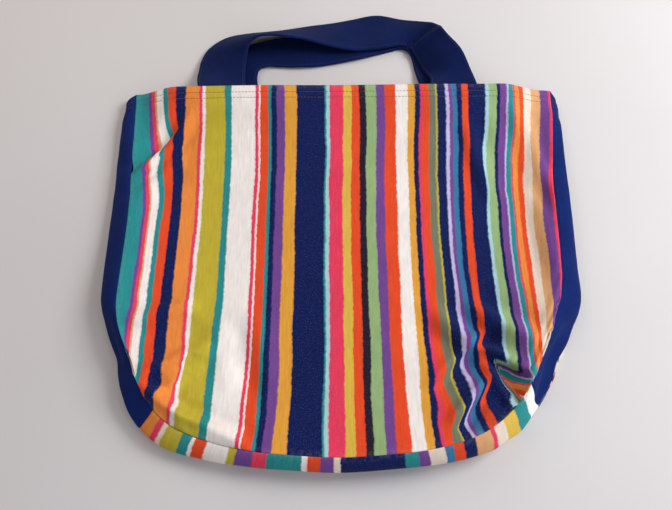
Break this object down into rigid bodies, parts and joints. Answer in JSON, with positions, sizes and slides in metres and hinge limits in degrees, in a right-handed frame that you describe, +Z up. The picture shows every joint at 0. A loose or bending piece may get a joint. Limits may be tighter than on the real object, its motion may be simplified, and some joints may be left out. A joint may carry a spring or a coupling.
{
  "type": "tote bag",
  "caption": "Soft striped canvas tote bag lying flat on its back, with dark side gussets, a curved base, a turned-in hem and flat strap handles; it folds across its middle.",
  "frame": {"origin": "on the surface that the bag lies on, under the middle of the whole bag's outline", "axes": "+Z up out of the front panel, +Y from the base to the mouth and handles, +X to the right as seen from above with the mouth away from the viewer"},
  "size_m": [0.428, 0.472, 0.026],
  "materials": {
    "striped_canvas": "printed canvas in many colours of stripe",
    "navy_canvas": "plain dark blue canvas",
    "canvas_edges": "the canvas's unprinted side",
    "navy_strap": "dark blue canvas strap"
  },
  "bodies": {
    "lower_half": {"front_panel_lower": "striped_canvas", "back_panel_lower": "striped_canvas", "left_gusset_lower": "navy_canvas", "right_gusset_lower": "navy_canvas", "base_gusset": "striped_canvas", "front_seam_allowance_lower": "canvas_edges", "back_seam_allowance_lower": "canvas_edges"},
    "upper_half": {"front_panel_upper": "striped_canvas", "back_panel_upper": "striped_canvas", "left_gusset_upper": "navy_canvas", "right_gusset_upper": "navy_canvas", "front_hem_facing": "striped_canvas", "back_hem_facing": "striped_canvas", "left_hem_facing": "navy_canvas", "right_hem_facing": "navy_canvas", "front_seam_allowance_upper": "canvas_edges", "back_seam_allowance_upper": "canvas_edges", "front_handle_ends": "navy_strap", "back_handle_ends": "navy_strap"},
    "front_handle": {"front_handle": "navy_strap"},
    "back_handle": {"back_handle": "navy_strap"}
  },
  "joints": [
    {"name": "bag_fold", "type": "hinge", "parent": "lower_half", "child": "upper_half", "pos_m": [0, -0.053, 0.033], "axis": [1, 0, 0], "range_deg": [0, 170]},
    {"name": "front_handle_swing", "type": "hinge", "parent": "upper_half", "child": "front_handle", "pos_m": [0, 0.14, 0.027], "axis": [1, 0, 0], "range_deg": [0, 178]},
    {"name": "back_handle_swing", "type": "hinge", "parent": "upper_half", "child": "back_handle", "pos_m": [0, 0.14, 0.027], "axis": [1, 0, 0], "range_deg": [0, 178]}
  ],
  "couplings": [
    {"joint": "back_handle_swing", "follows": "front_handle_swing", "ratio": 1}
  ]
}
